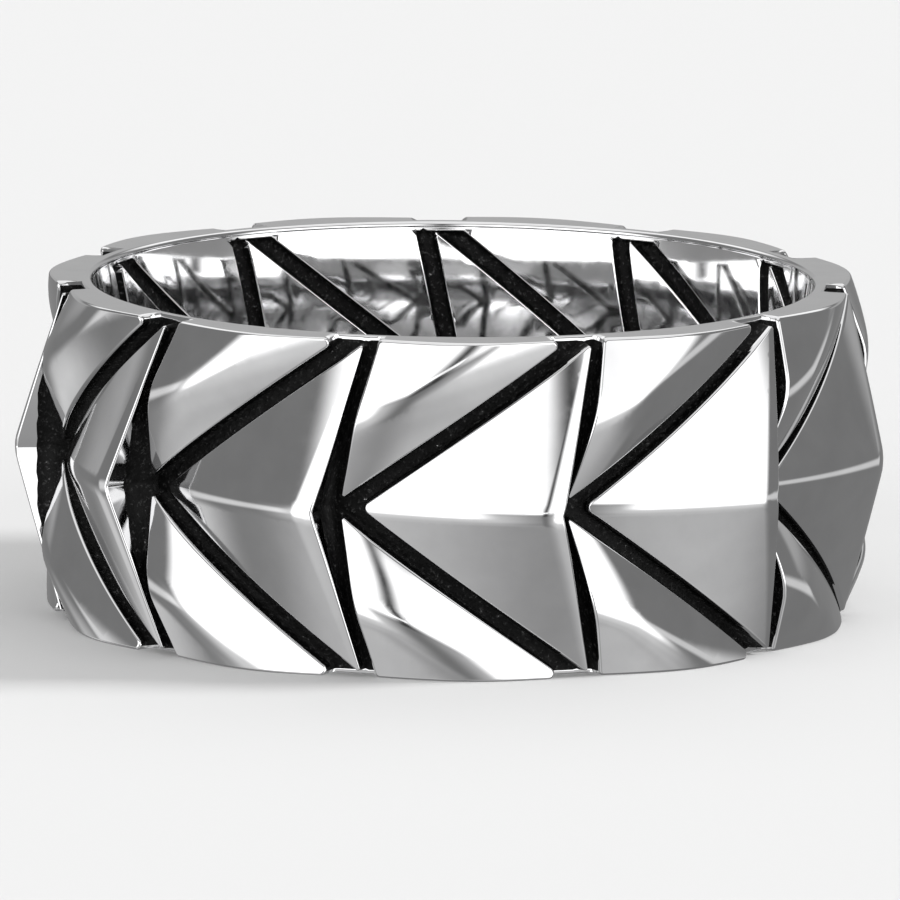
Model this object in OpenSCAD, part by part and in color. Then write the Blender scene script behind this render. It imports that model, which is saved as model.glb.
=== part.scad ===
// Chevron ring: one cast band. Raised arrowheads follow one another round it, each between two
// raised wings that reach the rims, with sunk channels between them and a comfort-fit finger hole.
// The ring's axis is Z, the origin is at the centre of the finger hole, and the photographed side
// faces -Y. Along the band, the arrowheads point towards -X on that side.

/* [Finger hole] */
// Diameter of the hole along its straight middle
bore_d = 19; // [15:0.1:22]
// Length of the straight middle, along the axis
land_l = 4; // [2:0.1:6]
// How far the hole opens out from its straight middle to a rim, on the radius
flare = 0.22; // [0.05:0.01:0.25]
// Radius that rounds the hole's edge at a rim
rim_round = 0.12; // [0.05:0.01:0.2]

/* [Band] */
// Width of the band, along the axis
band_w = 9; // [7:0.1:12]
// Wall between the straight middle of the hole and the channel floors
wall = 0.55; // [0.45:0.01:0.9]
// Width of the rim left beside the end of an inner channel
rim_land = 0.17; // [0.1:0.01:0.4]
// Width of the rim left beside an arrowhead's corner
corner_land = 0.1; // [0.05:0.01:0.3]
// Number of arrowheads round the band
chevrons = 11; // [9:1:13]
// Width of the channel behind each notched tail
tail_channel_w = 0.335; // [0.25:0.005:0.5]
// Width of the channel along each slanting edge
side_channel_w = 0.43; // [0.3:0.01:0.6]
// How far a wall leans out between its top and its foot
draft = 0.06; // [0.02:0.01:0.1]

/* [Arrowhead] */
// Where the point lies, as a share of the pitch from the middle of a repeat
point_at = -0.4095; // [-0.43:0.0005:-0.38]
// Where the notch of the tail lies, as a share of the pitch
notch_at = 0.449; // [0.42:0.001:0.47]
// Where the two tail corners lie, as a share of the pitch
corner_at = 0.618; // [0.59:0.001:0.64]
// Height of the point above the channel floors
point_h = 0.42; // [0.3:0.01:0.7]
// Height of the ridge where it ends at the tail's bevel
ridge_h = 1.76; // [1.4:0.01:2]
// Height of the tail corners
corner_h = 0.6; // [0.5:0.01:0.9]
// Width of the tail's bevel at the ridge
tail_bevel_w = 0.38; // [0.2:0.01:0.6]

/* [Wing] */
// Height of the edge beside the arrowhead
side_h = 0.6; // [0.45:0.01:0.8]
// Height of the peak, where the fold turns
peak_h = 1.3; // [1:0.01:1.5]
// How far the peak lies inside the leading edge
peak_in = 0.3; // [0.15:0.01:0.4]
// How far the fold lies inside the edge beside the arrowhead
fold_in = 1.4; // [1.2:0.05:1.6]
// Height of the crest, where the fold meets the rim
crest_h = 0.9; // [0.7:0.01:1.1]
// Height of the leading corner, at the rim
lead_h = 0.46; // [0.3:0.01:0.6]

/* [Inner channels] */
// Width of the channels in the hole's wall
inner_channel_w = 0.5; // [0.3:0.01:0.6]
// Depth of the channels in the hole's wall
inner_channel_depth = 0.2; // [0.1:0.01:0.25]

/* [Hidden] */
$fn = 96;

// How deep the plates are rooted in the wall
root = wall / 4;
// How far a cutter runs past what it cuts, and a wing past the rim where it is cut flush
spare = 0.3;
// Steps in the arcs of the hole's profile
arc_steps = 3;
// Steps in which a plate's top follows the band, so that it bends with it
tail_steps = 4;
ridge_steps = 3;
wing_steps = 3;
facet_steps = 2;

bore_r = bore_d / 2;
half_w = band_w / 2;
floor_r = bore_r + wall;
pitch_deg = 360 / chevrons;

// The pattern is laid out flat, with x round the band and y along the axis, and wrapped at this radius
flat_r = floor_r + side_h;
pitch_l = 2 * PI * flat_r / chevrons;

// Where an arrowhead lies: its corners as [x, y]
arrow_point = [point_at * pitch_l, 0];
arrow_notch = [notch_at * pitch_l, 0];
arrow_corner = [corner_at * pitch_l, half_w - corner_land];
ridge_end = arrow_notch - [tail_bevel_w, 0];

tail_dir = unit(arrow_corner - arrow_notch);
side_dir = unit(arrow_corner - arrow_point);
tail_normal = [tail_dir.y, -tail_dir.x];
side_normal = [-side_dir.y, side_dir.x];

// The notch of the arrowhead in front, whose channel the wing's leading edge follows
last_notch = arrow_notch - [pitch_l, 0];
lead_start = last_notch + tail_channel_w * tail_normal;
side_start = arrow_point + side_channel_w * side_normal;
fold_start = side_start + fold_in * side_normal;
wing_tip = meet(lead_start, tail_dir, side_start, side_dir);
wing_lead = at_height(lead_start, tail_dir, half_w);
wing_peak = meet(lead_start + peak_in * tail_normal, tail_dir, fold_start, side_dir);
wing_crest = at_height(fold_start, side_dir, half_w);

// How far a straight bar has to reach, in and out, to cut the curved wall along a whole channel
bar_reach = bore_r * (1 - cos(pitch_deg / 2)) + inner_channel_depth + spare;

function unit(v) = v / norm(v);

function mix(a, b, t) = a + t * (b - a);

// Points on the line from a to b, cut into even steps: those numbered from first to last
function between(a, b, steps, first, last) = [for (i = [first : last]) mix(a, b, i / steps)];

// The line from a through b, carried on to spare past the rim. Points are [x, y, height].
function past_rim(a, b) = a + (b - a) * (half_w + spare - a.y) / (b.y - a.y);

// Height at p of the plane through a, b and c, whose points are [x, y, height]
function plane_height(a, b, c, p) =
    let (n = cross(b - a, c - a))
    a.z - (n.x * (p.x - a.x) + n.y * (p.y - a.y)) / n.z;

// Where the line through p along d meets the line through q along e
function meet(p, d, q, e) = p + d * cross(q - p, e) / cross(d, e);

// Where the line through p along d reaches the height y
function at_height(p, d, y) = p + d * (y - p.y) / d.y;

// A point of the flat pattern, wrapped round the axis at radius r
function wrapped(p, r) =
    let (a = p.x / flat_r * 180 / PI)
    [r * sin(a), -r * cos(a), p.y];

// Radius of the finger hole at the height y
function bore_radius(y) =
    let (
        run = half_w - land_l / 2,
        bend_r = (run * run + flare * flare) / (2 * flare),
        past = min(max(abs(y) - land_l / 2, 0), run)
    )
    bore_r + bend_r - sqrt(bend_r * bend_r - past * past);

// The triangles between two rows of points: m of them from index p on, and n of them from q on
function strip(p, m, q, n) =
    m == 1 ? [for (j = [0 : n - 2]) [p, q + j, q + j + 1]]
    : n == 1 ? [for (j = [0 : m - 2]) [p + j, q, p + j + 1]]
    : [for (j = [0 : m - 2]) each [[p + j, q + j, q + j + 1], [p + j, q + j + 1, p + j + 1]]];

// A raised plate, bent with the band. top: rows of points [x, y, height] across it, from left to
// right and from the lowest row to the highest, seen from outside. A row of one point is a corner.
// foot: the same rows where its walls end, inside the wall of the band.
module plate(top, foot) {
    rows = len(top);
    sizes = [for (row = top) len(row)];
    starts = [for (i = 0, at = 0; i < rows; at = at + sizes[i], i = i + 1) at];
    count = starts[rows - 1] + sizes[rows - 1];
    top_points = [for (row = top) for (p = row) wrapped(p, floor_r + p.z)];
    foot_points = [for (row = foot) for (p = row) wrapped(p, floor_r - root)];
    facets = [for (i = [0 : rows - 2]) each strip(starts[i], sizes[i], starts[i + 1], sizes[i + 1])];
    underside = [for (f = facets) [count + f[2], count + f[1], count + f[0]]];
    outline = concat(
        [for (j = [0 : sizes[0] - 1]) j],
        [for (i = [1 : rows - 2]) starts[i] + sizes[i] - 1],
        [for (j = [sizes[rows - 1] - 1 : -1 : 0]) starts[rows - 1] + j],
        [for (i = [rows - 2 : -1 : 1]) starts[i]]
    );
    walls = [
        for (i = [0 : len(outline) - 1])
            let (u = outline[i], v = outline[(i + 1) % len(outline)])
            each [[u, v, count + v], [u, count + v, count + u]]
    ];
    polyhedron(concat(top_points, foot_points), concat(facets, underside, walls));
}

// An arrowhead's rows, with its outline moved out by grow: from its lower tail corner to its upper
function arrow_rows(grow) =
    let (
        tip_at = arrow_point + [grow / side_normal.x, 0],
        notch = arrow_notch + [grow / tail_normal.x, 0],
        far = meet(tip_at, side_dir, notch, tail_dir),
        corner = [far.x, far.y, corner_h],
        left = [tip_at.x, 0, point_h],
        ridge = [ridge_end.x, 0, ridge_h],
        right = [notch.x, 0, ridge_h]
    )
    [
        for (i = [-tail_steps : tail_steps])
            let (
                t = abs(i) / tail_steps,
                row = concat(
                    between(mix(left, corner, t), mix(ridge, corner, t), ridge_steps, 0, ridge_steps),
                    [mix(right, corner, t)]
                )
            )
            [for (p = t == 1 ? [corner] : row) i < 0 ? [p.x, -p.y, p.z] : p]
    ];

// An arrowhead: two facets with the ridge between them, and the bevel of the notched tail
module arrowhead() {
    plate(arrow_rows(0), arrow_rows(draft));
}

// The wing's rows, with its outline moved out by grow: from its tip to past the rim. Each runs from
// the leading edge over the fold to the edge beside the arrowhead.
function wing_rows(grow) =
    let (
        lead_from = lead_start - grow * tail_normal,
        side_from = side_start - grow * side_normal,
        tip_at = meet(lead_from, tail_dir, side_from, side_dir),
        tip = [tip_at.x, tip_at.y, side_h],
        peak = [wing_peak.x, wing_peak.y, peak_h],
        crest = [wing_crest.x, wing_crest.y, crest_h],
        lead = [wing_lead.x, wing_lead.y, lead_h],
        // The bevel behind the leading edge rises along it to the peak, and meets the outer facet
        rise = (peak_h - side_h) / ((wing_peak - wing_tip) * tail_dir),
        outer_h = plane_height(peak, crest, lead, tip_at),
        outer_rise = plane_height(peak, crest, lead, tip_at + tail_dir) - outer_h,
        knee_l = (outer_h - side_h) / (rise - outer_rise),
        knee_at = tip_at + knee_l * tail_dir,
        knee = [knee_at.x, knee_at.y, side_h + rise * knee_l],
        lead_at = at_height(lead_from, tail_dir, half_w),
        beside_at = side_from + side_dir * ((wing_peak - side_from) * side_dir),
        trail_at = at_height(side_from, side_dir, half_w),
        beside = [beside_at.x, beside_at.y, side_h],
        left = past_rim(knee, [lead_at.x, lead_at.y, lead_h]),
        fold = past_rim(peak, crest),
        right = past_rim(beside, [trail_at.x, trail_at.y, side_h])
    )
    concat(
        [[tip]],
        [
            for (i = [0 : wing_steps])
                let (
                    t = i / wing_steps,
                    middle = mix(peak, fold, t)
                )
                concat(
                    between(mix(knee, left, t), middle, facet_steps, 0, facet_steps),
                    between(middle, mix(beside, right, t), facet_steps, 1, facet_steps)
                )
        ]
    );

// The wing above an arrowhead: an outer facet, an inner one and the bevel of the leading edge
module wing() {
    plate(wing_rows(0), wing_rows(draft));
}

// A straight bar that cuts one stretch of channel, from p to q in the flat pattern
module channel_bar(p, q) {
    middle = (p + q) / 2;
    turn = [0, 0, middle.x / flat_r * 180 / PI];
    across = (q.x - p.x) * bore_r / flat_r;
    along = q.y - p.y;
    rotate(turn) translate([0, -bore_r, middle.y]) rotate([0, -atan2(along, across), 0])
        cube([norm([across, along]), 2 * bar_reach, inner_channel_w], center = true);
}

// The bars of the two channels that run to the upper rim from one crossing
module channel_bars() {
    tail_mid = last_notch + tail_channel_w / 2 * tail_normal;
    side_mid = arrow_point + side_channel_w / 2 * side_normal;
    crossing = meet(tail_mid, tail_dir, side_mid, side_dir);
    channel_bar(at_height(tail_mid, tail_dir, 0), at_height(tail_mid, tail_dir, half_w));
    channel_bar(crossing, at_height(side_mid, side_dir, half_w));
}

// The channels in the hole's wall, as deep as the hole's own profile moved out, up to a rim's land
module inner_channels() {
    intersection() {
        finger_hole(inner_channel_depth);
        cylinder(r = floor_r, h = band_w - 2 * rim_land, center = true);
        for (k = [0 : chevrons - 1]) rotate([0, 0, k * pitch_deg]) {
            channel_bars();
            mirror([0, 0, 1]) channel_bars();
        }
    }
}

// What the finger takes out: the straight middle, the flares and the rounded edges. deeper moves
// the whole profile out.
module finger_hole(deeper = 0) {
    run = half_w - land_l / 2;
    flare_rows = [
        for (i = [0 : arc_steps])
            let (y = land_l / 2 + (run - rim_round) * i / arc_steps)
            [bore_radius(y), y]
    ];
    mouth_r = bore_radius(half_w - rim_round);
    round_rows = [
        for (i = [1 : arc_steps])
            let (a = 90 * i / arc_steps)
            [mouth_r + rim_round * (1 - cos(a)), half_w - rim_round * (1 - sin(a))]
    ];
    wall_rows = concat(flare_rows, round_rows, [[mouth_r + rim_round, half_w + spare]]);
    upper = [for (row = wall_rows) [row.x + deeper, row.y]];
    lower = [for (i = [len(upper) - 1 : -1 : 0]) [upper[i].x, -upper[i].y]];
    rotate_extrude() polygon(concat([[0, -half_w - spare]], lower, upper, [[0, half_w + spare]]));
}

// The base band with its plates, before anything is cut from it. It runs past the ends of the wings,
// so that no two ends lie flush.
module blank() {
    cylinder(r = floor_r, h = band_w + 4 * spare, center = true);
    for (k = [0 : chevrons - 1]) rotate([0, 0, k * pitch_deg]) {
        arrowhead();
        wing();
        mirror([0, 0, 1]) wing();
    }
}

// One cast solid: the blank with flat rims, less the finger hole and the channels in its wall
module band() {
    color("silver") difference() {
        intersection() {
            blank();
            cylinder(r = floor_r + 2 * ridge_h, h = band_w, center = true);
        }
        finger_hole();
        inner_channels();
    }
}

band();
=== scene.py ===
import math

import bmesh
import bpy
import numpy as np
from mathutils import Matrix, Vector, noise
from mathutils.geometry import delaunay_2d_cdt


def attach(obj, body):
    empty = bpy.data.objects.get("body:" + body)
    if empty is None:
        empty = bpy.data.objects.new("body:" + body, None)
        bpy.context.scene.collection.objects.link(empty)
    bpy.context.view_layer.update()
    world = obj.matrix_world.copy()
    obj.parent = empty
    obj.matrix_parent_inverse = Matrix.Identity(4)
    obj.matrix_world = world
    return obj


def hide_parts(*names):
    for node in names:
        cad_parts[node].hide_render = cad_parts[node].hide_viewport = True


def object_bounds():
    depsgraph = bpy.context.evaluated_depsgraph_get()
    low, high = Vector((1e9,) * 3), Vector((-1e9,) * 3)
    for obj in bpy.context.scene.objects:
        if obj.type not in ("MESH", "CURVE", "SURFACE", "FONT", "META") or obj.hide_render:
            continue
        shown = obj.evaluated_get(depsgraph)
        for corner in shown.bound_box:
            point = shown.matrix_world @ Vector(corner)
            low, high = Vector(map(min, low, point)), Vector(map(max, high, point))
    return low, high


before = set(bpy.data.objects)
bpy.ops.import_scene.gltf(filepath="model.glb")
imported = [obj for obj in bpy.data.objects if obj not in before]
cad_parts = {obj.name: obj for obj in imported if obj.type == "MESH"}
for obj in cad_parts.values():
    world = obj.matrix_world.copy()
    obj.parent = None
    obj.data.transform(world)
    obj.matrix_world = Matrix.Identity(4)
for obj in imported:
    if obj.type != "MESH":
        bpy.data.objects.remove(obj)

cad_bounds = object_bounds()

# The chevron ring's dressed band: one closed skin, with polished silver on its plates, rims and
# finger hole, and blackened silver in its channels. The upper half of one repeat is laid out in a
# flat pattern, wrapped round the axis, mirrored, and repeated. In the flat pattern x runs round the
# band at FLAT_R and y along the axis. Lengths are in millimetres until the mesh is made.

# ---------------------------------------------------------------- sizes, as in the part's source
MM = 0.001
BORE_R = 9.5
LAND_L = 4.0
FLARE = 0.22
RIM_ROUND = 0.12
HALF_W = 4.5
FLOOR_R = 10.05
RIM_LAND = 0.17
CHEVRONS = 11
TAIL_CHANNEL_W = 0.335
SIDE_CHANNEL_W = 0.43
DRAFT = 0.06
CORNER_LAND = 0.1
POINT_AT, NOTCH_AT, CORNER_AT = -0.4095, 0.449, 0.618
POINT_H, RIDGE_H, CORNER_H = 0.42, 1.76, 0.6
TAIL_BEVEL_W = 0.38
SIDE_H, PEAK_H, CREST_H, LEAD_H = 0.6, 1.3, 0.9, 0.46
PEAK_IN = 0.3          # how far the peak lies inside the leading edge
FOLD_IN = 1.4          # how far the fold lies inside the side edge
INNER_CHANNEL_W = 0.5
INNER_CHANNEL_DEPTH = 0.2

FLAT_R = FLOOR_R + SIDE_H
PITCH_DEG = 360 / CHEVRONS
PITCH_L = 2 * math.pi * FLAT_R / CHEVRONS

# ---------------------------------------------------------------- forms that only the dressed band has
EDGE_R = 0.075         # rounding of a plate's edges, between its top and its walls
SHARP_EDGE_R = 0.045   # the same at a plate's sharp corner
SHARP_L = 0.2          # how far from that corner the rounding starts to grow
SHARP_FADE_L = 0.8     # and over what length it does
POINT_CORNER_R = 0.2   # rounding of a plate's corners, seen from above
NOTCH_CORNER_R = 0.16
TAIL_CORNER_R = 0.06
TIP_CORNER_R = 0.06
TRAIL_CORNER_R = 0.16
LEAD_CORNER_R = 0.15
RIDGE_SOFT = 0.2       # how much the folds between facets are rounded
TAIL_SOFT = 0.05
FOLD_SOFT = 0.3
LEAD_SOFT = 0.45
PEAK_SOFT = 0.4        # how gently a wing's fold turns down past its peak
WING_BULGE = 0.05      # how far a wing's inner facet swells between its edge and its fold
WALL_SILVER_H = 1.15   # above this height the polish has worn the black off an arrowhead's walls
WALL_WEAR = 0.05       # how unevenly
WALL_LEAST = 0.08      # the least share of a wall that is silver
GRAIN_H = 0.022        # height of the channel floors' grain
GRAIN_L = 0.16         # and its length
GRAIN_SINK = 0.35      # the share of the grain's height that lies below the floor
GRAIN_FRACTAL = (0.6, 2.1, 3)   # how its octaves fade, their spacing and their count
FLOOR_SEED, WALL_SEED, INNER_SEED = 3.0, 5.0, 9.0
RIM_CHAMFER = 0.03
RIM_DROP = 0.04        # how far the floors round down at the rims, over their last row
INNER_EDGE_R = 0.04    # rounding of the edges of the channels in the finger hole's wall
INNER_EDGE_SHARE = 0.98   # the share of that rounding that is kept, which leaves its slope finite
INNER_WALL_L = 0.05    # how far those channels' walls slope

# ---------------------------------------------------------------- how finely the skin is laid out
EDGE_ANGLES = (0, 22, 45, 68, 90)
RIM_ANGLES = (22.5, 45, 67.5, 90)
ARC_STEP_DEG = 15
CHAIN_STEP = 0.22      # along a plate's edge
RIDGE_STEP = 0.15      # along an arrowhead's ridge
PLATE_STEP = 0.06      # where a plate's top bends
PLATE_SKIP = 5         # and, in such steps, where it is flat
PLATE_GAP = 0.6 * PLATE_STEP   # keeps points off a plate's edge
BEND_MIN = 0.5         # a top that bends more than this, per millimetre, keeps every point
FOLD_STEP = 0.04       # across a fold
FOLD_ROWS = 9          # the most rows on either side of a fold
FOLD_RUN_STEP = 0.16   # along a fold
LEAD_RUN_STEP = 0.1    # along the fold behind a wing's leading edge
FLOOR_ROWS = 43        # rows in a channel floor, from the middle to a rim
FLOOR_STEP = HALF_W / FLOOR_ROWS
FLOOR_RIM_GAP = 1.4 * FLOOR_STEP    # keeps staggered points off the two rows at the rim
FLOOR_SEAM_GAP = 0.6 * FLOOR_STEP   # off the seams between repeats
FLOOR_FOOT_GAP = 0.5 * FLOOR_STEP   # and off the feet of the walls
INNER_STEP = 0.18      # in the finger hole's channels
INNER_FLOOR_GAP = 0.3 * INNER_STEP   # keeps points off the feet of those channels' walls
INNER_SEAM_GAP = 0.2 * INNER_STEP    # off the seams between repeats
INNER_TOP_GAP = 0.6 * INNER_STEP     # off the row where the wall meets the rim
INNER_EDGE_GAP = 0.102               # and off the channels' edges
INNER_END_GAP = 3.2 * INNER_EDGE_R   # where the rows along a channel end, below its upper end
INNER_REACH = 1.4                    # how far those rows run, as a share of the channel's length
ROW_SHARE = 0.87       # spacing of staggered rows, as a share of the spacing along them
END_GAP = 0.015        # keeps a wall's foot beside its top where both end on the rim
SLOPE_STEP = 0.004     # the small step that slopes are taken over
OUTSIDE_L = 1.0        # how far beyond the pattern an open outline is closed
TINY = 1e-9
NEAR = 1e-6

SILVER, BLACK, BORE = 0, 1, 2


def unit(v):
    return v / np.linalg.norm(v)


def cross2(a, b):
    return a[0] * b[1] - a[1] * b[0]


def mix(a, b, t):
    return a + (b - a) * t


def meet(p, d, q, e):
    """Where the line through p along d meets the line through q along e."""
    return p + d * cross2(q - p, e) / cross2(d, e)


def at_height(p, d, y):
    """Where the line through p along d reaches the height y."""
    return p + d * (y - p[1]) / d[1]


def smooth_min(a, b, k):
    """The lower of a and b, with the fold between them rounded."""
    h = np.clip(k - np.abs(a - b), 0, None) / k
    return np.minimum(a, b) - h * h * k / 4


def wrapped(x, y, r):
    """Points of the flat pattern, wrapped round the axis at radius r."""
    a = np.asarray(x) / FLAT_R
    return np.stack([r * np.sin(a), -r * np.cos(a), np.broadcast_to(y, np.shape(a))], axis=-1)


def radial(x):
    """Directions straight out from the axis."""
    a = np.asarray(x) / FLAT_R
    return np.stack([np.sin(a), -np.cos(a), np.zeros_like(a)], axis=-1)


def turned(k):
    """The turn round the axis by k repeats."""
    return np.array(Matrix.Rotation(math.radians(k * PITCH_DEG), 3, "Z"))


# ---------------------------------------------------------------- the flat pattern's corners
point = np.array([POINT_AT * PITCH_L, 0.0])
notch = np.array([NOTCH_AT * PITCH_L, 0.0])
corner = np.array([CORNER_AT * PITCH_L, HALF_W - CORNER_LAND])
ridge_end = notch - (TAIL_BEVEL_W, 0)
tail_dir = unit(corner - notch)
side_dir = unit(corner - point)
tail_normal = np.array([tail_dir[1], -tail_dir[0]])
side_normal = np.array([-side_dir[1], side_dir[0]])
last_notch = notch - (PITCH_L, 0)
lead_start = last_notch + TAIL_CHANNEL_W * tail_normal
side_start = point + SIDE_CHANNEL_W * side_normal
fold_start = side_start + FOLD_IN * side_normal
tip = meet(lead_start, tail_dir, side_start, side_dir)
lead = at_height(lead_start, tail_dir, HALF_W)
trail = at_height(side_start, side_dir, HALF_W)
peak = meet(lead_start + PEAK_IN * tail_normal, tail_dir, fold_start, side_dir)
crest = at_height(fold_start, side_dir, HALF_W)
tail_mid = last_notch + TAIL_CHANNEL_W / 2 * tail_normal
side_mid = point + SIDE_CHANNEL_W / 2 * side_normal
seam_low = at_height(tail_mid, tail_dir, 0.0)
seam_high = at_height(tail_mid, tail_dir, HALF_W)


# ---------------------------------------------------------------- the plates' tops
# Heights above the channel floors are planes of the flat pattern, so the tops bend with the band.
def slope(*corners):
    """The plane through three corners, each (flat point, height): its height at the origin and slopes."""
    rows = np.array([[1, p[0], p[1]] for p, h in corners])
    return np.linalg.solve(rows, np.array([h for p, h in corners]))


def height_on(facet, x, y):
    return facet[0] + facet[1] * x + facet[2] * y


def fold_half(soft, a, b, flip=1):
    """Half the width of the fold between two facets, or between one and its mirror image below."""
    return soft / math.hypot(a[1] - b[1], a[2] - flip * b[2])


ARROW_SIDE = slope((point, POINT_H), (ridge_end, RIDGE_H), (corner, CORNER_H))
ARROW_TAIL = slope((ridge_end, RIDGE_H), (notch, RIDGE_H), (corner, CORNER_H))
WING_OUTER = slope((peak, PEAK_H), (crest, CREST_H), (lead, LEAD_H))
WING_INNER = slope((side_start, SIDE_H), (trail, SIDE_H), (peak, PEAK_H))
WING_LEAD = slope((tip, SIDE_H), (tip + tail_normal, SIDE_H), (peak, PEAK_H))

# each fold: where it starts and ends, half its width, and the spacing of points along it
ARROW_FOLDS = (
    (ridge_end, corner, fold_half(TAIL_SOFT, ARROW_SIDE, ARROW_TAIL), FOLD_RUN_STEP),
    (point, notch, fold_half(RIDGE_SOFT, ARROW_SIDE, ARROW_SIDE, -1), FOLD_RUN_STEP),
)
WING_FOLDS = (
    (tip, peak, fold_half(LEAD_SOFT, WING_LEAD, WING_INNER), LEAD_RUN_STEP),
    (peak, crest, fold_half(FOLD_SOFT, WING_OUTER, WING_INNER), FOLD_RUN_STEP),
)


def arrow_top(x, y):
    """The radius of an arrowhead's top."""
    side = smooth_min(height_on(ARROW_SIDE, x, y), height_on(ARROW_SIDE, x, -y), RIDGE_SOFT)
    tail = smooth_min(height_on(ARROW_TAIL, x, y), height_on(ARROW_TAIL, x, -y), RIDGE_SOFT)
    return FLOOR_R + smooth_min(side, tail, TAIL_SOFT)


def wing_top(x, y):
    """The radius of a wing's top, whose inner facet is ruled from its side edge to its falling fold."""
    inward = (x - side_start[0]) * side_normal[0] + (y - side_start[1]) * side_normal[1]
    along = ((x - peak[0]) * side_dir[0] + (y - peak[1]) * side_dir[1]) / np.linalg.norm(crest - peak)
    fold_h = mix(PEAK_H, CREST_H, -smooth_min(-along, 0.0, PEAK_SOFT))
    share = inward / FOLD_IN
    inner = mix(SIDE_H, fold_h, share) + WING_BULGE * 4 * share * (1 - share)
    top = smooth_min(inner, height_on(WING_OUTER, x, y), FOLD_SOFT)
    return FLOOR_R + smooth_min(top, height_on(WING_LEAD, x, y), LEAD_SOFT)


def top_normals(top, x, y):
    """Unit normals of a plate's top, from small steps along the flat pattern."""
    h = SLOPE_STEP
    px = wrapped(x + h, y, top(x + h, y)) - wrapped(x - h, y, top(x - h, y))
    py = wrapped(x, y + h, top(x, y + h)) - wrapped(x, y - h, top(x, y - h))
    n = np.cross(px, py)
    return n / np.linalg.norm(n, axis=-1, keepdims=True)


def side_normals(x, flat_n):
    """Flat outward directions, as directions in space."""
    a = x / FLAT_R
    return np.stack([flat_n[:, 0] * np.cos(a), flat_n[:, 0] * np.sin(a), flat_n[:, 1]], axis=-1)


# ---------------------------------------------------------------- outlines of the plates
def rounded(corners, radii):
    """Points along a counterclockwise outline with rounded corners, and their outward directions."""
    pts, dirs = [], []
    n = len(corners)
    for i in range(n):
        before = unit(corners[i] - corners[i - 1])
        after = unit(corners[(i + 1) % n] - corners[i])
        turn = math.atan2(cross2(before, after), before @ after)
        cut = radii[i] * math.tan(abs(turn) / 2)
        steps = 2 * max(1, round(abs(math.degrees(turn)) / ARC_STEP_DEG / 2))
        out = np.array([before[1], -before[0]])
        sign = math.copysign(1, turn)
        centre = corners[i] - cut * before - sign * radii[i] * out
        for s in range(steps + 1):
            a = turn * s / steps
            d = np.array([out[0] * math.cos(a) - out[1] * math.sin(a),
                          out[0] * math.sin(a) + out[1] * math.cos(a)])
            pts.append(centre + sign * radii[i] * d)
            dirs.append(d)
        nxt = (i + 1) % n
        beyond = unit(corners[(i + 2) % n] - corners[nxt])
        next_turn = math.atan2(cross2(after, beyond), after @ beyond)
        end = corners[nxt] - radii[nxt] * math.tan(abs(next_turn) / 2) * after
        start = pts[-1]
        count = max(1, math.ceil(np.linalg.norm(end - start) / CHAIN_STEP))
        for s in range(1, count):
            pts.append(mix(start, end, s / count))
            dirs.append(dirs[-1])
    return np.array(pts), np.array(dirs)


def arrow_chain():
    """The arrowhead's upper half outline, from its notch round to its point."""
    low_corner = corner * (1, -1)
    pts, dirs = rounded([point, low_corner, notch, corner],
                        [POINT_CORNER_R, TAIL_CORNER_R, NOTCH_CORNER_R, TAIL_CORNER_R])
    keep = pts[:, 1] > -TINY
    pts, dirs = pts[keep], dirs[keep]
    start = int(np.argmax(np.where(pts[:, 1] < TINY, pts[:, 0], -np.inf)))
    pts, dirs = np.roll(pts, -start, axis=0), np.roll(dirs, -start, axis=0)
    pts[[0, -1], 1] = 0.0
    dirs[[0, -1], 1] = 0.0
    dirs[[0, -1]] /= np.abs(dirs[[0, -1], :1])
    return pts, dirs


def wing_loop():
    """The wing's outline, from where its leading edge leaves the rim round to the rim again."""
    pts, dirs = rounded([tip, trail, lead], [TIP_CORNER_R, TRAIL_CORNER_R, LEAD_CORNER_R])
    on_rim = pts[:, 1] > HALF_W - TINY
    pts[on_rim, 1] = HALF_W
    start = int(np.argmin(np.where(on_rim, pts[:, 0], np.inf)))
    return np.roll(pts, -start, axis=0), np.roll(dirs, -start, axis=0)


def edge_radius(pts, sharp):
    """The rounding of a plate's edge at points along it, which is less beside its sharp corner."""
    away = np.linalg.norm(pts - sharp, axis=1)
    return mix(SHARP_EDGE_R, EDGE_R, np.clip((away - SHARP_L) / SHARP_FADE_L, 0, 1))


# ---------------------------------------------------------------- a patch of skin, triangulated in the flat
class Patch:
    """Points with a place in the flat pattern, a place in space and a normal, and their edges."""

    def __init__(self):
        self.flat, self.space, self.normal, self.edges, self.count = [], [], [], [], 0

    def add(self, flat, space, normal):
        """Adds points, and returns their ids."""
        first = self.count
        self.flat.append(np.asarray(flat, float).reshape(-1, 2))
        self.space.append(np.asarray(space, float).reshape(-1, 3))
        self.normal.append(np.asarray(normal, float).reshape(-1, 3))
        self.count += len(self.flat[-1])
        return np.arange(first, self.count)

    def join(self, ids, closed=False):
        """Makes edges between points in their order."""
        ids = list(ids)
        self.edges += list(zip(ids, ids[1:] + ids[:1] if closed else ids[1:]))

    def row_at(self, y):
        """The ids of the points at a height, in their order along x."""
        flat = np.concatenate(self.flat)
        ids = np.flatnonzero(np.abs(flat[:, 1] - y) < TINY)
        return ids[np.argsort(flat[ids, 0])]

    def triangles(self, near=1e-7, least_area=1e-8):
        """Counterclockwise triangles between all the points, with every edge kept."""
        flat = np.concatenate(self.flat)
        _, _, faces, origin, _, _ = delaunay_2d_cdt(
            [Vector(p) for p in flat], [(int(a), int(b)) for a, b in self.edges], [], 0, near, True)
        source = [o[0] if o else -1 for o in origin]
        tris = np.array([[source[i] for i in f] for f in faces if len(f) == 3])
        tris = tris[(tris >= 0).all(axis=1)]
        a, b, c = (flat[tris[:, i]] for i in range(3))
        area = (b - a)[:, 0] * (c - a)[:, 1] - (b - a)[:, 1] * (c - a)[:, 0]
        tris = np.where(area[:, None] > 0, tris, tris[:, [0, 2, 1]])
        return tris[np.abs(area) > least_area]


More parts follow.
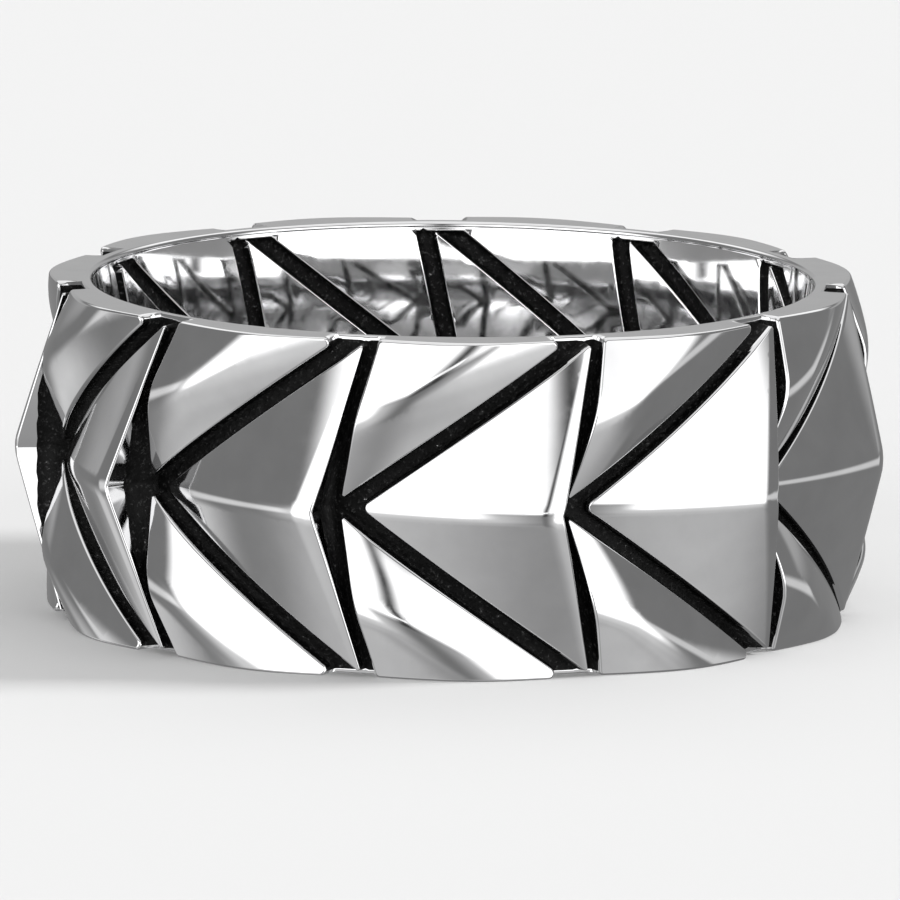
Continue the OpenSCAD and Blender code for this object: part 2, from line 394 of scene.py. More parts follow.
def inside(points, loop):
    """Which points lie inside a closed outline."""
    x, y = points[:, 0][:, None], points[:, 1][:, None]
    a, b = loop, np.roll(loop, -1, axis=0)
    over = (a[:, 1] > y) != (b[:, 1] > y)
    rise = np.where(b[:, 1] == a[:, 1], 1.0, b[:, 1] - a[:, 1])
    cut = a[:, 0] + (y - a[:, 1]) * (b[:, 0] - a[:, 0]) / rise
    return (over & (x < cut)).sum(axis=1) % 2 == 1


def clearance(points, loop, closed=True):
    """Distance of each point from an outline."""
    a = loop if closed else loop[:-1]
    b = np.roll(loop, -1, axis=0) if closed else loop[1:]
    ab = b - a
    t = np.einsum("pij,ij->pi", points[:, None] - a, ab) / np.einsum("ij,ij->i", ab, ab)
    near = a + np.clip(t, 0, 1)[..., None] * ab
    return np.linalg.norm(points[:, None] - near, axis=2).min(axis=1)


def closed_beyond(line, y):
    """An open outline, closed by going straight to the height y at both ends."""
    return np.concatenate([line, [[line[-1][0], y], [line[0][0], y]]])


def grain(space, seed):
    """Rough cast grain between 0 and 1 at points in space."""
    shift = Vector((seed, 0, 0))
    return np.array([0.5 + 0.5 * noise.fractal(Vector(p) / GRAIN_L + shift, *GRAIN_FRACTAL) for p in space])


def lattice(step, x0, x1, y0, y1):
    """Points in staggered rows."""
    rows = []
    count = int((y1 - y0) / (step * ROW_SHARE)) + 1
    for j in range(count):
        xs = np.arange(x0 + (j % 2) * step / 2, x1, step)
        rows.append(np.stack([xs, np.full(len(xs), y0 + j * step * ROW_SHARE)], axis=1))
    return np.concatenate(rows)


# ---------------------------------------------------------------- the outside: plates, walls and floors
def add_edge(patch, top, pts, dirs, edge, closed):
    """Adds a plate's rounded edge. Returns the loop where it starts, on the plate's top."""
    for deg in EDGE_ANGLES:
        s, c = math.sin(math.radians(deg)), math.cos(math.radians(deg))
        flat = pts - (edge * (1 - s))[:, None] * dirs
        x, y = flat[:, 0], flat[:, 1]
        n = c * top_normals(top, x, y) + s * side_normals(x, dirs)
        n /= np.linalg.norm(n, axis=1, keepdims=True)
        patch.join(patch.add(flat, wrapped(x, y, top(x, y) - edge * (1 - c)), n), closed)
    return pts - edge[:, None] * dirs


def add_on_top(patch, top, flat):
    """Adds points that lie on a plate's top."""
    x, y = flat[:, 0], flat[:, 1]
    patch.add(flat, wrapped(x, y, top(x, y)), top_normals(top, x, y))


def fold_points(start, end, half, step):
    """Points in rows along a fold, out to half its width on both sides."""
    along = unit(end - start)
    across = np.array([-along[1], along[0]])
    runs = np.arange(-half, np.linalg.norm(end - start) + half, step)
    count = min(math.ceil(half / FOLD_STEP), FOLD_ROWS)
    return np.concatenate([start + runs[:, None] * along + i * half / count * across
                           for i in range(-count, count + 1)])


def off_fold(points, fold, gap):
    """Those of the points that lie further than a gap from a fold's rows."""
    start, end, half, _ = fold
    return points[clearance(points, np.array([start, end]), closed=False) > half + gap]


def bending(top, rows):
    """Which points lie where a top bends."""
    x, y, h = rows[:, 0], rows[:, 1], PLATE_STEP / 2
    middle = 2 * top(x, y)
    round_x = np.abs(top(x + h, y) + top(x - h, y) - middle)
    round_y = np.abs(top(x, y + h) + top(x, y - h) - middle)
    return (round_x + round_y) / h ** 2 > BEND_MIN


def add_top(patch, top, loop, folds):
    """Adds the points inside a plate: rows along its folds, and between them every point where the top
    bends, and a few where it is flat."""
    x0, y0 = loop.min(axis=0)
    x1, y1 = loop.max(axis=0)
    rows = lattice(PLATE_STEP, x0, x1, max(y0, PLATE_STEP / 2), min(y1, HALF_W))
    in_folds = []
    for i, fold in enumerate(folds):
        rows = off_fold(rows, fold, PLATE_STEP / 2)
        new = fold_points(*fold)
        for other in folds[:i]:
            new = off_fold(new, other, FOLD_STEP / 2)
        in_folds.append(new)
    in_folds = np.concatenate(in_folds)
    in_folds = in_folds[(in_folds[:, 1] > max(y0, PLATE_STEP / 4)) & (in_folds[:, 1] < HALF_W)]
    in_folds = in_folds[inside(in_folds, loop)]
    add_on_top(patch, top, in_folds[clearance(in_folds, loop) > FOLD_STEP / 2])
    rows = rows[inside(rows, loop)]
    rows = rows[clearance(rows, loop) > PLATE_GAP]
    order = np.round((rows - rows.min(axis=0)) / PLATE_STEP).astype(int)
    sparse = (order % PLATE_SKIP == 0).all(axis=1)
    add_on_top(patch, top, rows[bending(top, rows) | sparse])


def add_floor_points(patch, flat):
    """Adds points of the grainy channel floors, and returns their ids."""
    x, y = flat[:, 0], flat[:, 1]
    space = wrapped(x, y, FLOOR_R)
    in_rows = (HALF_W - y) / FLOOR_STEP
    bumps = GRAIN_H * (grain(space, FLOOR_SEED) - GRAIN_SINK) * np.clip(in_rows - 1, 0, 1)
    bumps -= RIM_DROP * np.clip(1 - in_rows, 0, 1) ** 2
    return patch.add(flat, wrapped(x, y, FLOOR_R + bumps), radial(x))


def add_arrow(patch):
    """Adds the arrowhead's half down to its foot. Returns the lines of its foot, and of where its wall
    turns from silver to black."""
    pts, dirs = arrow_chain()
    edge = edge_radius(pts, corner)
    inner = add_edge(patch, arrow_top, pts, dirs, edge, closed=False)
    ridge_x = np.arange(pts[-1][0] + EDGE_R + PLATE_STEP, pts[0][0] - EDGE_R - PLATE_STEP / 2, RIDGE_STEP)
    add_on_top(patch, arrow_top, np.stack([ridge_x, np.zeros(len(ridge_x))], axis=1))
    add_top(patch, arrow_top, inner, ARROW_FOLDS)
    wall_h = arrow_top(pts[:, 0], pts[:, 1]) - edge - FLOOR_R
    wear = WALL_WEAR * (grain(wrapped(pts[:, 0], pts[:, 1], FLOOR_R), WALL_SEED) - 0.5)
    silver = np.clip((wall_h - WALL_SILVER_H - wear) / wall_h, WALL_LEAST, 1)
    worn = pts + DRAFT * silver[:, None] * dirs
    worn_space = wrapped(worn[:, 0], worn[:, 1], FLOOR_R + wall_h * (1 - silver))
    patch.join(patch.add(worn, worn_space, side_normals(pts[:, 0], dirs)))
    foot = pts + DRAFT * dirs
    patch.join(add_floor_points(patch, foot))
    return foot, worn


def add_wing(patch):
    """Adds the wing down to its foot. Returns the line of its foot and the outline of its top."""
    pts, dirs = wing_loop()
    inner = add_edge(patch, wing_top, pts, dirs, edge_radius(pts, tip), closed=True)
    add_top(patch, wing_top, inner, WING_FOLDS)
    last = int(np.argmax(np.where(pts[:, 1] > HALF_W - TINY, pts[:, 0], -np.inf)))
    foot = pts[:last + 1] + DRAFT * dirs[:last + 1]
    foot[:, 1] = np.minimum(foot[:, 1], HALF_W)
    foot[[0, -1]] = pts[[0, last]] + ((-END_GAP, 0), (END_GAP, 0))
    patch.join(add_floor_points(patch, foot))
    return foot, pts


def add_floor(patch, arrow_foot, wing_foot):
    """Adds the seams with the repeats on both sides, and the channel floors between them."""
    seam = seam_low + (seam_high - seam_low) * np.linspace(0, 1, FLOOR_ROWS + 1)[:, None]
    patch.join(add_floor_points(patch, seam))
    turn = turned(1)
    patch.join(patch.add(seam + (PITCH_L, 0), patch.space[-1] @ turn.T, patch.normal[-1] @ turn.T))
    rows = lattice(FLOOR_STEP, seam[:, 0].min(), seam[:, 0].max() + PITCH_L, 0.0, HALF_W)
    rows = rows[rows[:, 1] < HALF_W - FLOOR_RIM_GAP]
    along = np.arange(seam_high[0], seam_high[0] + PITCH_L, FLOOR_STEP)
    for y in (HALF_W - FLOOR_STEP, HALF_W):
        rows = np.concatenate([rows, np.stack([along, np.full(len(along), y)], axis=1)])
    past = (rows - seam_low) @ tail_normal
    rows = rows[(past > FLOOR_SEAM_GAP) & (past < PITCH_L * tail_normal[0] - FLOOR_SEAM_GAP)]
    for foot, y in ((arrow_foot, -OUTSIDE_L), (wing_foot, HALF_W + OUTSIDE_L)):
        rows = rows[~inside(rows, closed_beyond(foot, y))]
        rows = rows[clearance(rows, foot, closed=False) > FLOOR_FOOT_GAP]
    add_floor_points(patch, rows)


def outer_half():
    """The upper half of one repeat's outside, between two middles of the tail channel, the material of
    each triangle, and the row of points along its rim."""
    patch = Patch()
    arrow_foot, arrow_worn = add_arrow(patch)
    wing_foot, wing_outline = add_wing(patch)
    add_floor(patch, arrow_foot, wing_foot)
    rim = patch.row_at(HALF_W)
    patch.join(patch.row_at(0.0))
    patch.join(rim)
    tris = patch.triangles()
    middle = np.concatenate(patch.flat)[tris].mean(axis=1)
    on_arrow = inside(middle, closed_beyond(arrow_worn, -OUTSIDE_L))
    silver = on_arrow | inside(middle, wing_outline) | (middle[:, 1] > HALF_W - FLOOR_STEP)
    return patch, tris, np.where(silver, SILVER, BLACK), rim


# ---------------------------------------------------------------- the rim and the finger hole
RUN = HALF_W - LAND_L / 2
BEND_R = (RUN * RUN + FLARE * FLARE) / (2 * FLARE)
MOUTH_PAST = RUN - RIM_ROUND
MOUTH_R = BORE_R + BEND_R - math.sqrt(BEND_R ** 2 - MOUTH_PAST ** 2)
CHANNEL_TOP = HALF_W - RIM_LAND
CHANNEL_END = CHANNEL_TOP - 2 * INNER_EDGE_R
INNER_OFFSETS = (INNER_EDGE_R, 0.4 * INNER_EDGE_R, 0.0, -INNER_WALL_L)

# On the hole's wall a point is (u, y), with u running round it at BORE_R.
INNER_SCALE = BORE_R / FLAT_R
STRETCH = np.array([INNER_SCALE, 1.0])
INNER_PITCH = np.array([PITCH_L * INNER_SCALE, 0.0])


def left_of(d):
    return np.array([-d[1], d[0]])


def inner_channels(k):
    """The middles of a repeat's tail and side channels in the hole's wall, each (start, direction)."""
    return [((mid + (k * PITCH_L, 0.0)) * STRETCH, unit(along * STRETCH))
            for mid, along in ((tail_mid, tail_dir), (side_mid, side_dir))]


def bore_past(y):
    """How far points lie past the hole's straight middle."""
    return np.clip(np.abs(y) - LAND_L / 2, 0, RUN)


def bore_radius(y):
    return BORE_R + BEND_R - np.sqrt(BEND_R ** 2 - bore_past(y) ** 2)


def bore_normal(x, y):
    """The finger hole's normal, which points to the axis and tips out towards the rims."""
    tilt = np.arcsin(bore_past(y) / BEND_R)
    n = -radial(x) * np.cos(tilt)[:, None]
    n[:, 2] = np.sin(tilt) * np.sign(y)
    return n


def channel_gap(u, y):
    """How far points of the hole's wall are from the channels in it, less than 0 inside them."""
    here = np.stack([u, np.abs(y)], axis=1)
    gap = np.full(len(here), np.inf)
    for k in range(-1, 3):
        (tail_p, tail_d), (side_p, side_d) = inner_channels(k)
        joint = meet(tail_p, tail_d, side_p, side_d)
        tail_gap = np.abs((here - tail_p) @ left_of(tail_d)) - INNER_CHANNEL_W / 2
        side_gap = np.abs((here - side_p) @ left_of(side_d)) - INNER_CHANNEL_W / 2
        side_gap = np.maximum(side_gap, (joint - here) @ side_d)
        gap = np.minimum(gap, np.minimum(tail_gap, side_gap))
    return np.maximum(gap, here[:, 1] - CHANNEL_END)


def sunk(u, y):
    """How deep the wall is sunk at points of it, by the channels and their rounded edges."""
    gap = channel_gap(u, y)
    lip = np.clip((INNER_EDGE_R - gap) / INNER_EDGE_R, 0, 1)
    edge = INNER_EDGE_R * (1 - np.sqrt(1 - lip ** 2 * INNER_EDGE_SHARE))
    return edge + np.clip(-gap / INNER_WALL_L, 0, 1) * (INNER_CHANNEL_DEPTH - INNER_EDGE_R)


def inner_surface(flat):
    """Places and normals of points (u, y) on the hole's wall and in its channels."""
    u, y = flat[:, 0], flat[:, 1]
    x = u * FLAT_R / BORE_R
    r = bore_radius(y) + sunk(u, y)
    on_floor = channel_gap(u, y) < -INNER_WALL_L
    r = r + np.where(on_floor, GRAIN_H * (grain(wrapped(x, y, r), INNER_SEED) - 0.5), 0.0)
    h = SLOPE_STEP
    du = (sunk(u + h, y) - sunk(u - h, y)) / (2 * h)
    dy = (sunk(u, y + h) - sunk(u, y - h)) / (2 * h)
    a = x / FLAT_R
    n = bore_normal(x, y)
    n += du[:, None] * np.stack([np.cos(a), np.sin(a), np.zeros_like(a)], axis=1)
    n[:, 2] += dy
    return wrapped(x, y, r), n / np.linalg.norm(n, axis=1, keepdims=True)


def channel_lines(u_low, u_high):
    """Points along the edges and walls of the channels in the hole's wall, up to their upper ends."""
    lines = []
    for k in (0, 1):
        for start, d in inner_channels(k):
            count = 2 * math.ceil(INNER_REACH * CHANNEL_TOP / d[1] / INNER_STEP)
            for side in (-1, 1):
                for off in INNER_OFFSETS:
                    line = start + side * (INNER_CHANNEL_W / 2 + off) * left_of(d)
                    line = line + d * ((-start[1] - OUTSIDE_L) / d[1])
                    line = line + d * np.arange(count)[:, None] * INNER_STEP
                    real = np.abs(channel_gap(line[:, 0], line[:, 1]) - off) < NEAR
                    real &= (line[:, 1] > 0) & (line[:, 1] < CHANNEL_TOP - INNER_END_GAP)
                    lines.append(line[real])
    us = np.arange(u_low, u_high, INNER_STEP / 2)
    for off in INNER_OFFSETS:
        line = np.stack([us, np.full(len(us), CHANNEL_END + off)], axis=1)
        lines.append(line[channel_gap(line[:, 0], line[:, 1]) < INNER_EDGE_R + NEAR])
    return np.concatenate(lines)


def inner_grid(u_low, u_high):
    """Points between those lines: close in the channels' floors, and further apart on the wall."""
    grid = lattice(INNER_STEP, u_low - OUTSIDE_L, u_high + OUTSIDE_L,
                   INNER_STEP / 2, CHANNEL_TOP - INNER_TOP_GAP)
    gap = channel_gap(grid[:, 0], grid[:, 1])
    order = np.round(grid / INNER_STEP).astype(int)
    on_floor = gap < -INNER_WALL_L - INNER_FLOOR_GAP
    return grid[on_floor | ((gap > INNER_EDGE_GAP) & (order % 2 == 0).all(axis=1))]


def inner_half(rim_x):
    """The upper half of one repeat's share of the hole's wall, below the channels' upper ends, the
    material of each triangle, and its row of upper points."""
    patch = Patch()
    top = np.stack([rim_x * INNER_SCALE, np.full(len(rim_x), CHANNEL_TOP)], axis=1)
    seam_start = seam_low * (INNER_SCALE, 0)
    rows = np.linspace(0, 1, round(CHANNEL_TOP / INNER_STEP) + 1)[1:-1, None]
    seam = seam_start + (top[0] - seam_start) * rows
    flat = np.concatenate([channel_lines(top[0][0], top[-1][0]), inner_grid(top[0][0], top[-1][0])])
    seam_normal = -left_of(unit(top[0] - seam_start))
    past = (flat - seam_start) @ seam_normal
    flat = flat[(past > INNER_SEAM_GAP) & (past < INNER_PITCH @ seam_normal - INNER_SEAM_GAP)]
    ids = patch.add(np.concatenate([top, flat]), *inner_surface(np.concatenate([top, flat])))
    top_ids = ids[:len(top)]
    patch.join(top_ids)
    base_end = seam_start[0] + INNER_PITCH[0]
    base_u = np.arange(seam_start[0] + INNER_STEP, base_end - INNER_STEP / 2, INNER_STEP)
    base = np.stack([base_u, np.zeros(len(base_u))], axis=1)
    base = np.concatenate([[seam_start], base, [seam_start + INNER_PITCH]])
    space, normal = inner_surface(base)
    turn = turned(1)
    space[-1], normal[-1] = turn @ space[0], turn @ normal[0]
    base_ids = patch.add(base, space, normal)
    patch.join(base_ids)
    space, normal = inner_surface(seam)
    near_ids = patch.add(seam, space, normal)
    far_ids = patch.add(seam + INNER_PITCH, space @ turn.T, normal @ turn.T)
    patch.join([base_ids[0], *near_ids, top_ids[0]])
    patch.join([base_ids[-1], *far_ids, top_ids[-1]])
    tris = patch.triangles()[:, ::-1]
    middle = np.concatenate(patch.flat)[tris].mean(axis=1)
    black = channel_gap(middle[:, 0], middle[:, 1]) < 0
    return patch, tris, np.where(black, BLACK, BORE), top_ids


def rim_rows(x, outer_space):
    """Rows of points from the outside's edge at the rim, across the flat rim and down to the channels."""
    outer_r = np.hypot(outer_space[:, 0], outer_space[:, 1])
    up = np.tile([0.0, 0.0, 1.0], (len(x), 1))
    yield wrapped(x, HALF_W, outer_r - RIM_CHAMFER), up
    yield wrapped(x, HALF_W, np.full(len(x), MOUTH_R + RIM_ROUND)), up
    for deg in RIM_ANGLES:
        s, c = math.sin(math.radians(deg)), math.cos(math.radians(deg))
        r = np.full(len(x), MOUTH_R + RIM_ROUND * (1 - s))
        yield wrapped(x, HALF_W - RIM_ROUND * (1 - c), r), up * c - radial(x) * s


# ---------------------------------------------------------------- one closed band from the repeats
class Skin:
    """Points in space with their normals, and triangles between them with their materials."""

    def __init__(self):
        self.space, self.normal, self.faces, self.kinds, self.count = [], [], [], [], 0

    def add(self, space, normal):
        """Adds points, and returns their ids."""
        first = self.count
        self.space.append(space)
        self.normal.append(normal)
        self.count += len(space)
        return np.arange(first, self.count)

    def cover(self, faces, kinds):
        self.faces.append(faces)
        self.kinds.append(kinds)

    def strip(self, above, below):
        """Covers the strip between two rows of points with silver."""
        self.cover(np.stack([above[:-1], above[1:], below[1:]], axis=1), np.full(len(above) - 1, SILVER))
        self.cover(np.stack([above[:-1], below[1:], below[:-1]], axis=1), np.full(len(above) - 1, SILVER))

    def parts(self):
        return [np.concatenate(p) for p in (self.space, self.normal, self.faces, self.kinds)]


def upper_half():
    """The upper half of one repeat, outside, rim and finger hole."""
    outer, outer_tris, outer_kinds, rim = outer_half()
    flat, space, normal = (np.concatenate(p) for p in (outer.flat, outer.space, outer.normal))
    on_floor = rim[np.hypot(space[rim, 0], space[rim, 1]) < FLOOR_R + GRAIN_H]
    normal[on_floor] += (0, 0, 1)
    normal[on_floor] /= np.linalg.norm(normal[on_floor], axis=1, keepdims=True)
    inner, inner_tris, inner_kinds, inner_top = inner_half(flat[rim, 0])
    skin = Skin()
    skin.add(space, normal)
    skin.cover(outer_tris, outer_kinds)
    above = rim
    for row in rim_rows(flat[rim, 0], space[rim]):
        below = skin.add(*row)
        skin.strip(above, below)
        above = below
    first = skin.add(np.concatenate(inner.space), np.concatenate(inner.normal))[0]
    skin.strip(above, inner_top + first)
    skin.cover(inner_tris + first, inner_kinds)
    return skin.parts()


def whole_band():
    """All the repeats, each an upper half and its mirror image."""
    space, normal, faces, kinds = upper_half()
    skin = Skin()
    for k in range(CHEVRONS):
        turn = turned(k)
        for flip, order in ((1, 1), (-1, -1)):
            first = skin.count
            skin.add(space * (1, 1, flip) @ turn.T, normal * (1, 1, flip) @ turn.T)
            skin.cover(faces[:, ::order] + first, kinds)
    return skin.parts()


def band_mesh(name, merge_m=1e-7, least_m=1e-9):
    """The band as one mesh, with its repeats joined where they meet and its own normals."""
    space, normal, faces, kinds = whole_band()
    mesh = bpy.data.meshes.new(name)
    mesh.from_pydata((space * MM).tolist(), [], faces.tolist())
    mesh.polygons.foreach_set("material_index", kinds.astype(np.int32))
    store = mesh.attributes.new("made_normal", "FLOAT_VECTOR", "POINT")
    store.data.foreach_set("vector", normal.astype(np.float32).ravel())
    work = bmesh.new()
    work.from_mesh(mesh)
    bmesh.ops.remove_doubles(work, verts=work.verts, dist=merge_m)
    bmesh.ops.dissolve_degenerate(work, edges=work.edges, dist=least_m)
    open_edges = sum(not e.is_manifold for e in work.edges)
    work.to_mesh(mesh)
    work.free()
    print(f"{name}: {len(mesh.vertices)} points, {len(mesh.polygons)} triangles, {open_edges} open edges")
    made = np.zeros(len(mesh.vertices) * 3, np.float32)
    mesh.attributes["made_normal"].data.foreach_get("vector", made)
    mesh.attributes.remove(mesh.attributes["made_normal"])
    mesh.polygons.foreach_set("use_smooth", np.ones(len(mesh.polygons), bool))
    mesh.normals_split_custom_set_from_vertices(made.reshape(-1, 3))
    return mesh


# ---------------------------------------------------------------- materials
# The plates and rims are the same silver as the finger hole, toned darker: painted shade, which dims their
# reflections
SILVER_TONES_WITH_PAINTED_SHADE = ((0.60, 0.60, 0.605), (0.66, 0.66, 0.665))
BORE_TONES = ((0.86, 0.86, 0.865), (0.92, 0.92, 0.925))
SILVER_ROUGHNESS = (0.045, 0.11)
FLOOR_GREY = (0.5, 0.5, 0.5, 1)


def new_material(name):
    mat = bpy.data.materials.new(name)
    mat.use_nodes = True
    nodes, links = mat.node_tree.nodes, mat.node_tree.links
    return mat, nodes, links, nodes["Principled BSDF"]


def noise_node(nodes, links, coords, scale, detail, rough=0.5):
    node = nodes.new("ShaderNodeTexNoise")
    node.inputs["Scale"].default_value = scale
    node.inputs["Detail"].default_value = detail
    node.inputs["Roughness"].default_value = rough
    links.new(coords, node.inputs["Vector"])
    return node.outputs["Fac"]


def ramp(nodes, links, value, stops):
    """Maps a value to stops, each (position, grey or colour)."""
    node = nodes.new("ShaderNodeValToRGB")
    bar = node.color_ramp
    for _ in range(len(stops) - 2):
        bar.elements.new(0.5)
    for element, (at, colour) in zip(bar.elements, stops):
        element.position = at
        element.color = (*colour, 1) if isinstance(colour, tuple) else (colour, colour, colour, 1)
    links.new(value, node.inputs["Fac"])
    return node.outputs["Color"]


def bumped(nodes, links, height, strength, distance, under=None):
    node = nodes.new("ShaderNodeBump")
    node.inputs["Strength"].default_value = strength
    node.inputs["Distance"].default_value = distance
    links.new(height, node.inputs["Height"])
    if under is not None:
        links.new(under, node.inputs["Normal"])
    return node.outputs["Normal"]


def polished_silver(name, dark, light):
    """Mirror-polished silver, with a faint haze, fine wear and a slight swell left by the polishing."""
    mat, nodes, links, shader = new_material(name)
    coords = nodes.new("ShaderNodeTexCoord").outputs["Object"]
    shader.inputs["Metallic"].default_value = 1.0
    haze = noise_node(nodes, links, coords, scale=900, detail=3)
    links.new(ramp(nodes, links, haze, ((0.3, dark), (0.75, light))), shader.inputs["Base Color"])
    wear = noise_node(nodes, links, coords, scale=2600, detail=4, rough=0.65)
    smooth, worn = SILVER_ROUGHNESS
    links.new(ramp(nodes, links, wear, ((0.35, smooth), (0.8, worn))), shader.inputs["Roughness"])
    swell = noise_node(nodes, links, coords, scale=420, detail=1)
    links.new(bumped(nodes, links, swell, strength=0.02, distance=0.0002), shader.inputs["Normal"])
    return mat


def blackened_silver():
    """Blackened silver as it was cast: granular, with flecks of bare metal."""
    mat, nodes, links, shader = new_material("blackened_silver")
    coords = nodes.new("ShaderNodeTexCoord").outputs["Object"]
    grit = noise_node(nodes, links, coords, scale=9000, detail=4, rough=0.7)
    lumps = noise_node(nodes, links, coords, scale=3200, detail=3, rough=0.6)
    tones = ((0.0, 0.0015), (0.56, 0.002), (0.64, 0.03), (0.7, 0.06), (0.76, 0.6))
    links.new(ramp(nodes, links, grit, tones), shader.inputs["Base Color"])
    links.new(ramp(nodes, links, grit, ((0.0, 0.0), (0.66, 0.0), (0.73, 1.0))), shader.inputs["Metallic"])
    shader.inputs["Specular IOR Level"].default_value = 0.1
    links.new(ramp(nodes, links, lumps, ((0.3, 0.55), (0.7, 0.3))), shader.inputs["Roughness"])
    coarse = bumped(nodes, links, lumps, strength=0.7, distance=0.00006)
    fine = bumped(nodes, links, grit, strength=0.8, distance=0.00003, under=coarse)
    links.new(fine, shader.inputs["Normal"])
    return mat


def pale_floor():
    mat, nodes, links, shader = new_material("pale_floor")
    shader.inputs["Base Color"].default_value = FLOOR_GREY
    shader.inputs["Roughness"].default_value = 0.9
    shader.inputs["Emission Color"].default_value = (1, 1, 1, 1)
    shader.inputs["Emission Strength"].default_value = 0.1
    return mat


# ---------------------------------------------------------------- the studio
# Soft lights and flags all round, as the band's reflections show them. Columns: direction in
# degrees round from the camera to the right, height in degrees, half width, half height, how far
# the edges fade, and brightness.
AMBIENT = 0.26
STUDIO = (
    ("left_key", -44, 9.5, 22.5, 29.5, 12, 1.9),
    ("left_key_inner", -11.5, 20, 10, 19, 12, 1.9),
    ("right_key_inner", 16.5, 20, 7.5, 18, 12, 1.9),
    ("right_key", 48.25, 8.5, 24.25, 28.5, 12, 1.9),
    ("left_under", -42, -18, 33, 18, 24, 0.65),
    ("right_under", 44, -18, 28, 18, 24, 0.65),
    ("left_fringe", -92, -9, 20, 6, 8, 0.7),
    ("right_fringe", 106, -7, 30, 5, 6, 0.6),
    ("left_back", -127, -28, 16, 10, 20, 0.6),
    ("camera_gap", 3.5, 13, 5, 19, 6, -0.2),
    ("front_strip", 0, 5, 8, 2, 2, 1.4),
    ("top", 0, 90, 360, 34, 16, 1.0),
    ("floor_front", 0, -62, 90, 24, 8, 0.14),
    ("floor_left", -60, -62, 32, 24, 60, 0.4),
    ("floor_right", 47, -62, 26, 24, 48, 0.34),
    ("back_low", 180, 10, 50, 8, 8, 0.25),
    ("back_key", 180, 42, 50, 14, 12, 1.2),
)
SIDE_LIGHT = 3.8
SIDE_LIGHT_SOFT_DEG = 14
SIDE_LIGHT_HEIGHT_DEG = 30
SIDE_LIGHT_TURN_DEG = 5
FLOOR_HALF_M = 1.2


def build_world():
    world = bpy.data.worlds.new("studio")
    world.use_nodes = True
    nodes, links = world.node_tree.nodes, world.node_tree.links
    background = nodes["Background"]

    def calc(operation, *values):
        """A sum, whose values are numbers or other nodes' results."""
        node = nodes.new("ShaderNodeMath")
        node.operation = operation
        for socket, value in zip(node.inputs, values):
            if isinstance(value, (int, float)):
                socket.default_value = value
            else:
                links.new(value, socket)
        return node.outputs[0]

    def window(value, half, fade):
        """1 where value is under half, falling to 0 over fade."""
        node = nodes.new("ShaderNodeMapRange")
        node.interpolation_type = "SMOOTHSTEP"
        node.inputs["From Min"].default_value = half - fade / 2
        node.inputs["From Max"].default_value = half + fade / 2
        node.inputs["To Min"].default_value = 1
        node.inputs["To Max"].default_value = 0
        links.new(value, node.inputs["Value"])
        return node.outputs["Result"]

    parts = nodes.new("ShaderNodeSeparateXYZ")
    links.new(nodes.new("ShaderNodeTexCoord").outputs["Generated"], parts.inputs[0])
    x, y, z = parts.outputs
    azimuth = calc("MULTIPLY", calc("ARCTAN2", x, calc("MULTIPLY", y, -1)), math.degrees(1))
    height = calc("MULTIPLY", calc("ARCSINE", z), math.degrees(1))
    total = AMBIENT
    for _, az, el, half_az, half_el, fade, level in STUDIO:
        off = calc("ABSOLUTE", calc("WRAP", calc("SUBTRACT", azimuth, az), 180.0, -180.0))
        across = window(off, half_az, fade) if half_az < 180 else 1.0
        up = window(calc("ABSOLUTE", calc("SUBTRACT", height, el)), half_el, fade)
        total = calc("MULTIPLY_ADD", calc("MULTIPLY", across, up), level, total)
    links.new(total, background.inputs["Color"])
    bpy.context.scene.world = world


def added(name, data):
    """A new object in the scene."""
    thing = bpy.data.objects.new(name, data)
    bpy.context.scene.collection.objects.link(thing)
    return thing


def build_side_light():
    """A low light from the right that only the floor shows, for the band's shadow to its left."""
    data = bpy.data.lights.new("side_light", "SUN")
    data.energy = SIDE_LIGHT
    data.angle = math.radians(SIDE_LIGHT_SOFT_DEG)
    light = added("side_light", data)
    light.rotation_euler = (0, math.radians(90 - SIDE_LIGHT_HEIGHT_DEG), math.radians(SIDE_LIGHT_TURN_DEG))
    light.visible_glossy = False


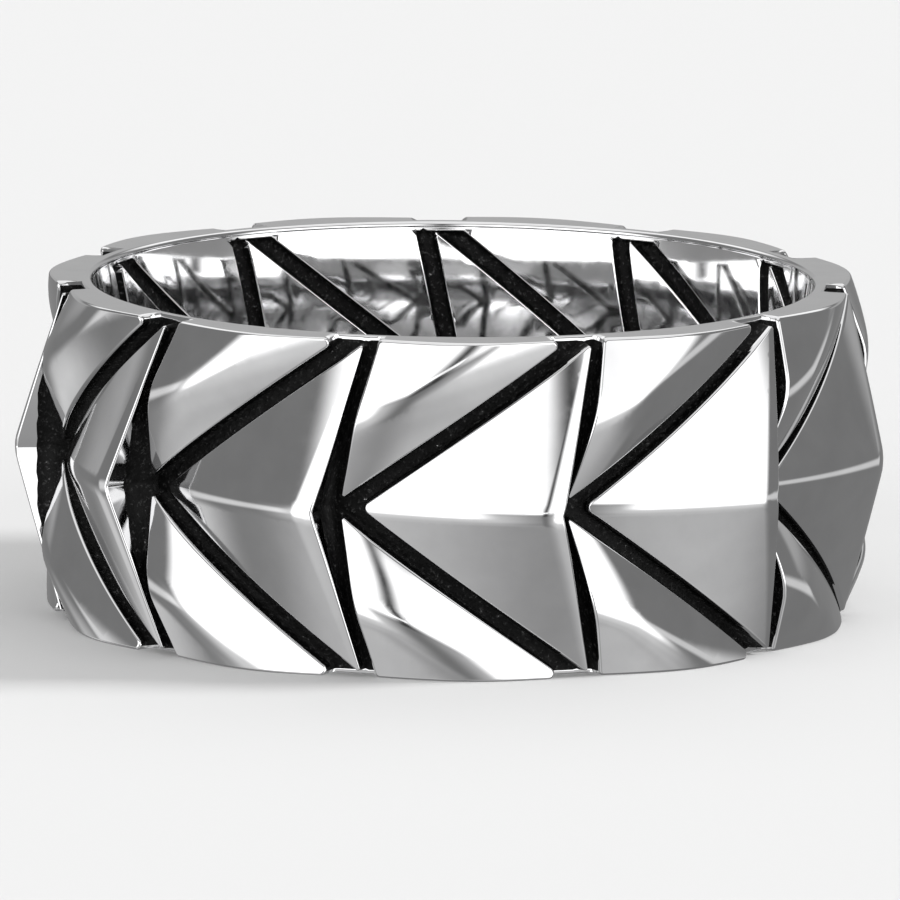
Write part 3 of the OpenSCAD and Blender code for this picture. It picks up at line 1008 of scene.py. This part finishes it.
def build_floor():
    """A plain pale floor that the band lies on."""
    low = cad_bounds[0][2]
    corners = [(x * FLOOR_HALF_M, y * FLOOR_HALF_M, low) for x, y in ((-1, -1), (1, -1), (1, 1), (-1, 1))]
    mesh = bpy.data.meshes.new("floor")
    mesh.from_pydata(corners, [], [(0, 1, 2, 3)])
    floor = added("floor", mesh)
    mesh.materials.append(pale_floor())
    floor.visible_glossy = False


# ---------------------------------------------------------------- the camera, as fitted to the photograph
CAMERA_DISTANCE_M = 0.38625
CAMERA_HEIGHT_DEG = 9.764
CAMERA_ROLL_DEG = 0.573
CAMERA_CLIP_M = (0.01, 10)
PHOTO_PX = 900
FOCAL_PX = 14348.0
CENTRE_PX = (451.2, 442.7)
SENSOR_MM = 36.0


def build_camera():
    data = bpy.data.cameras.new("camera")
    data.sensor_width = SENSOR_MM
    data.lens = FOCAL_PX / PHOTO_PX * SENSOR_MM
    data.shift_x = (PHOTO_PX / 2 - CENTRE_PX[0]) / PHOTO_PX
    data.shift_y = (CENTRE_PX[1] - PHOTO_PX / 2) / PHOTO_PX
    data.clip_start, data.clip_end = CAMERA_CLIP_M
    camera = added("camera", data)
    up = math.radians(CAMERA_HEIGHT_DEG)
    roll = math.radians(CAMERA_ROLL_DEG)
    place = Matrix.Translation((0, -CAMERA_DISTANCE_M * math.cos(up), CAMERA_DISTANCE_M * math.sin(up)))
    aim = Matrix.Rotation(math.pi / 2 - up, 4, "X") @ Matrix.Rotation(roll, 4, "Z")
    camera.matrix_world = place @ aim
    bpy.context.scene.camera = camera


# ---------------------------------------------------------------- everything together
bpy.context.scene.view_settings.view_transform = "Standard"
band = added("chevron_band", band_mesh("chevron_band"))
# the outside's polished_silver takes the darker tones, painted shade; the finger hole's takes the lighter
# ones
for material in (polished_silver("polished_silver", *SILVER_TONES_WITH_PAINTED_SHADE), blackened_silver(),
                 polished_silver("polished_bore", *BORE_TONES)):
    band.data.materials.append(material)
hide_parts("band")
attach(band, "root")
build_world()
build_side_light()
build_camera()
build_floor()
